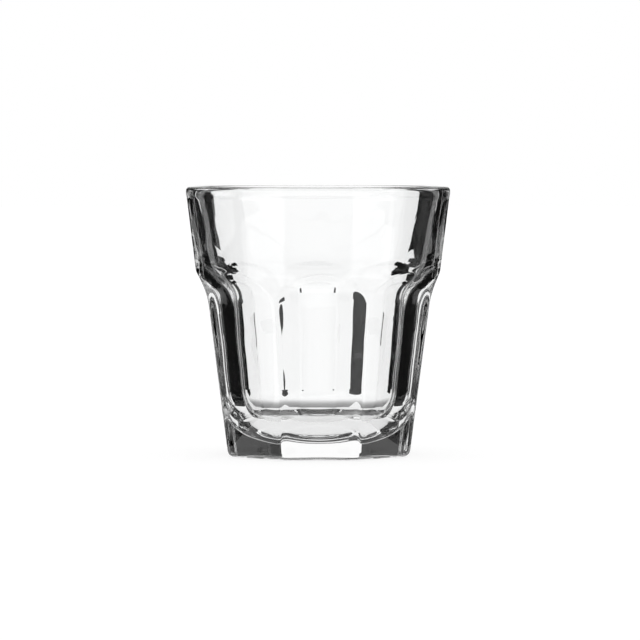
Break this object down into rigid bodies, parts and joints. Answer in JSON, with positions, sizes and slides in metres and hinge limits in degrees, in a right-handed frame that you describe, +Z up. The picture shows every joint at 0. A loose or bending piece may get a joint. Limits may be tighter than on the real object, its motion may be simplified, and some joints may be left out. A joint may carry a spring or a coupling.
{
  "type": "rocks glass",
  "caption": "Clear pressed rocks glass with a round rim band, arch-topped flat panels round a tapered body, an open bowl and a heavy base.",
  "frame": {"origin": "centre of the base, on the table", "axes": "+Z up along the glass's axis; a flat panel faces -Y"},
  "size_m": [0.089, 0.089, 0.0905],
  "materials": {
    "clear_glass": "polished, pressed"
  },
  "bodies": {
    "root": {"glass_body": "clear_glass"}
  },
  "joints": []
}
